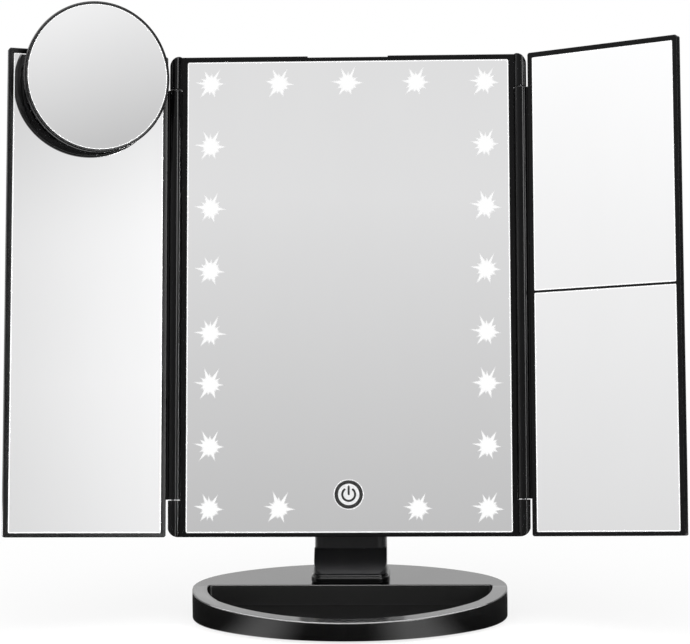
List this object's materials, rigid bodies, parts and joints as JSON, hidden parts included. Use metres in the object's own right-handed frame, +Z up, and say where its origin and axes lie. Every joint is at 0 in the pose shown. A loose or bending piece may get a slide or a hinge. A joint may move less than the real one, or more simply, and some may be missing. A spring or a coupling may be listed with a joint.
{
  "type": "trifold vanity mirror",
  "caption": "Table vanity mirror on a tray base: a lit tilting centre panel, two folding wing mirrors and a small round magnifying mirror held by suction cups.",
  "frame": {"origin": "centre of the oval base, on the surface the feet stand on", "axes": "+Z up, +X to the user's right as the user faces the mirror, -Y towards the user"},
  "size_m": [0.3277, 0.12, 0.3035],
  "materials": {
    "gloss_black": "gloss moulded ABS",
    "satin_black": "satin moulded ABS",
    "mirror": "silvered glass",
    "frosted_window": "frosted, lit from behind",
    "rubber": "matt",
    "cup_rubber": "soft PVC",
    "steel": "zinc plated",
    "washer_brass": "rolled",
    "board": "solder mask",
    "cell_wrap": "plain sleeve"
  },
  "bodies": {
    "base": {"base_shell": "gloss_black", "base_bottom_cover": "satin_black", "ballast_weight": "steel", "rubber_feet": "rubber", "base_screws": "steel", "neck_column": "gloss_black", "neck_collar": "gloss_black", "neck_screws": "steel"},
    "panel": {"tilt_shaft": "steel", "tilt_nut": "steel", "friction_washers": "washer_brass", "shaft_caps": "gloss_black", "front_frame": "gloss_black", "rear_cover": "gloss_black", "cover_screws": "steel", "centre_mirror": "mirror", "led_windows": "frosted_window", "touch_window": "mirror", "led_board": "board", "leds": "frosted_window", "touch_board": "board", "control_board": "board", "usb_socket": "steel", "battery_box": "satin_black", "battery_cells": "cell_wrap", "battery_contacts": "steel", "wing_hinge_pins": "steel"},
    "battery_door": {"battery_door": "gloss_black"},
    "left_wing": {"left_wing_frame": "gloss_black", "left_wing_back": "gloss_black", "left_wing_mirror": "mirror"},
    "right_wing": {"right_wing_frame": "gloss_black", "right_wing_back": "gloss_black", "upper_wing_mirror": "mirror", "lower_wing_mirror": "mirror"},
    "spot": {"spot_housing": "gloss_black", "spot_mirror": "mirror", "suction_cups": "cup_rubber"}
  },
  "joints": [
    {"name": "head_tilt", "type": "hinge", "parent": "base", "child": "panel", "pos_m": [0, 0.0228, 0.048], "axis": [-1, 0, 0], "range_deg": [-18, 75]},
    {"name": "left_wing_hinge", "type": "hinge", "parent": "panel", "child": "left_wing", "pos_m": [-0.086, 0.01551, 0.15895], "axis": [0, 0.1736, 0.9848], "range_deg": [-20, 85]},
    {"name": "right_wing_hinge", "type": "hinge", "parent": "panel", "child": "right_wing", "pos_m": [0.086, 0.01551, 0.15895], "axis": [0, -0.1736, -0.9848], "range_deg": [-29, 150.5]},
    {"name": "spot_mirror_pull", "type": "slide", "parent": "left_wing", "child": "spot", "axis": [0.342, -0.9254, 0.1632], "range_m": [0, 0.01]},
    {"name": "battery_door_lift", "type": "slide", "parent": "panel", "child": "battery_door", "axis": [0, 0.9848, -0.1736], "range_m": [0, 0.02]}
  ]
}
